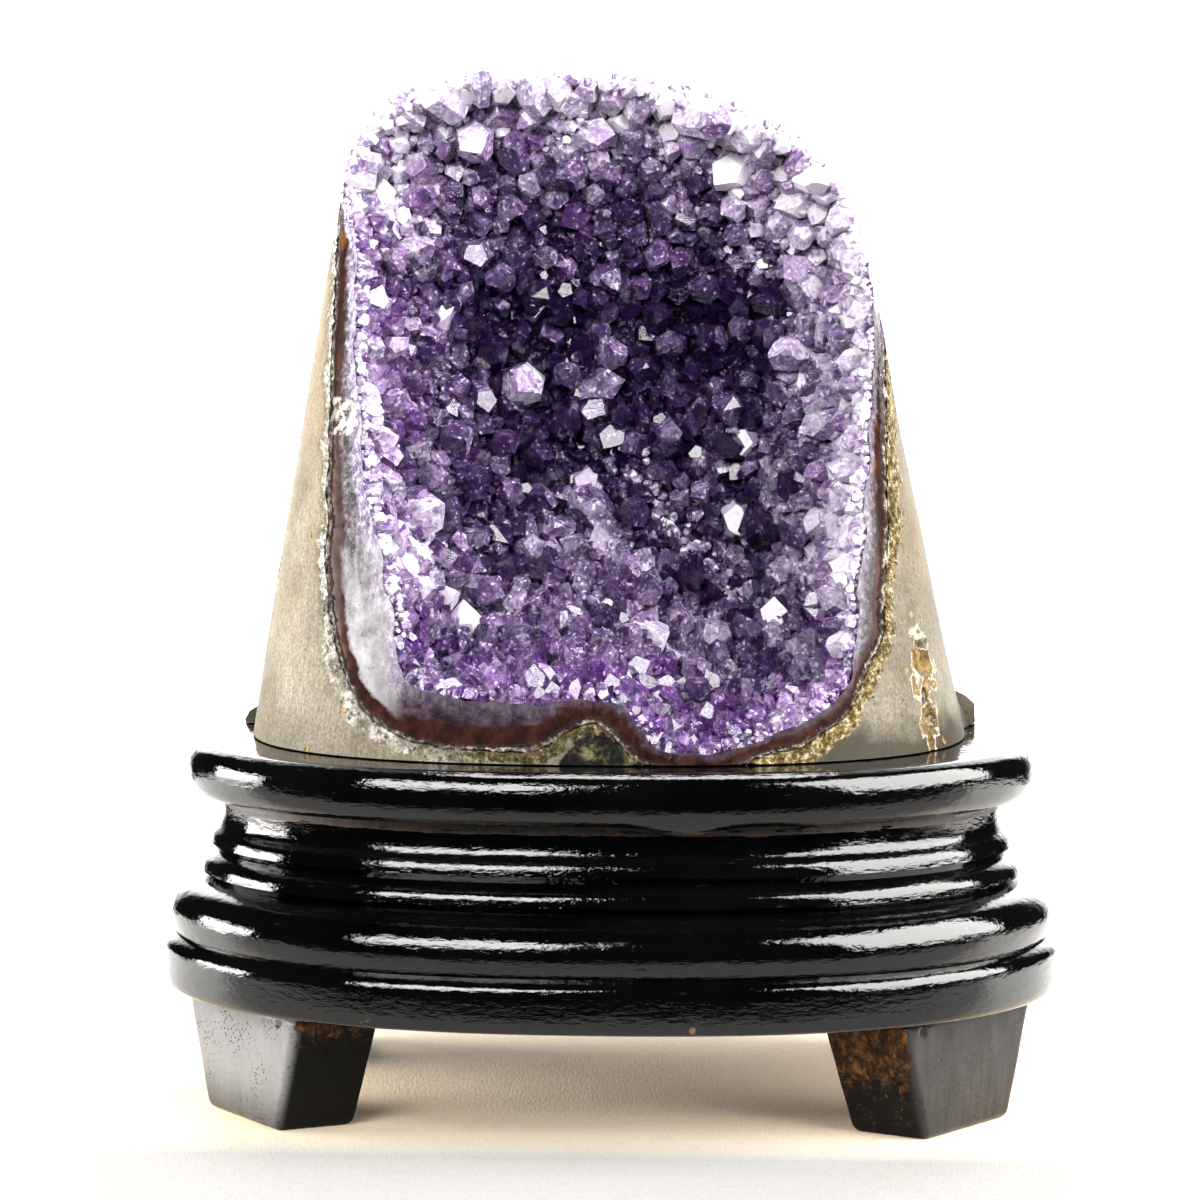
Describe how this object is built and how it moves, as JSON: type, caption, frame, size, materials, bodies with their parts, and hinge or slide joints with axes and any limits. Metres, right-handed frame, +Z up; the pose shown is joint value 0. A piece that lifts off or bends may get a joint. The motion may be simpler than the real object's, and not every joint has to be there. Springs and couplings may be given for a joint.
{
  "type": "amethyst cluster on stand",
  "caption": "Amethyst geode ground to a tapered block, its crystal-lined hollow open to the front, standing on a moulded black lacquered wooden stand with corner feet.",
  "frame": {"origin": "on the floor, under the middle of the stand's outline", "axes": "+Z up; the crystal hollow faces -Y; +X to the right as seen from the front"},
  "size_m": [0.203, 0.144, 0.231],
  "materials": {
    "ground_basalt": "ground matte, rough rind at the back",
    "amethyst_crystal": "clear purple crystal faces on polished banded agate",
    "black_lacquered_wood": "black gloss lacquer, brushed"
  },
  "bodies": {
    "root": {"basalt_matrix": "ground_basalt", "amethyst_crust": "amethyst_crystal", "upper_tray_board": "black_lacquered_wood", "lower_moulding_board": "black_lacquered_wood", "foot_front_left": "black_lacquered_wood", "foot_front_right": "black_lacquered_wood", "foot_back_left": "black_lacquered_wood", "foot_back_right": "black_lacquered_wood"}
  },
  "joints": []
}
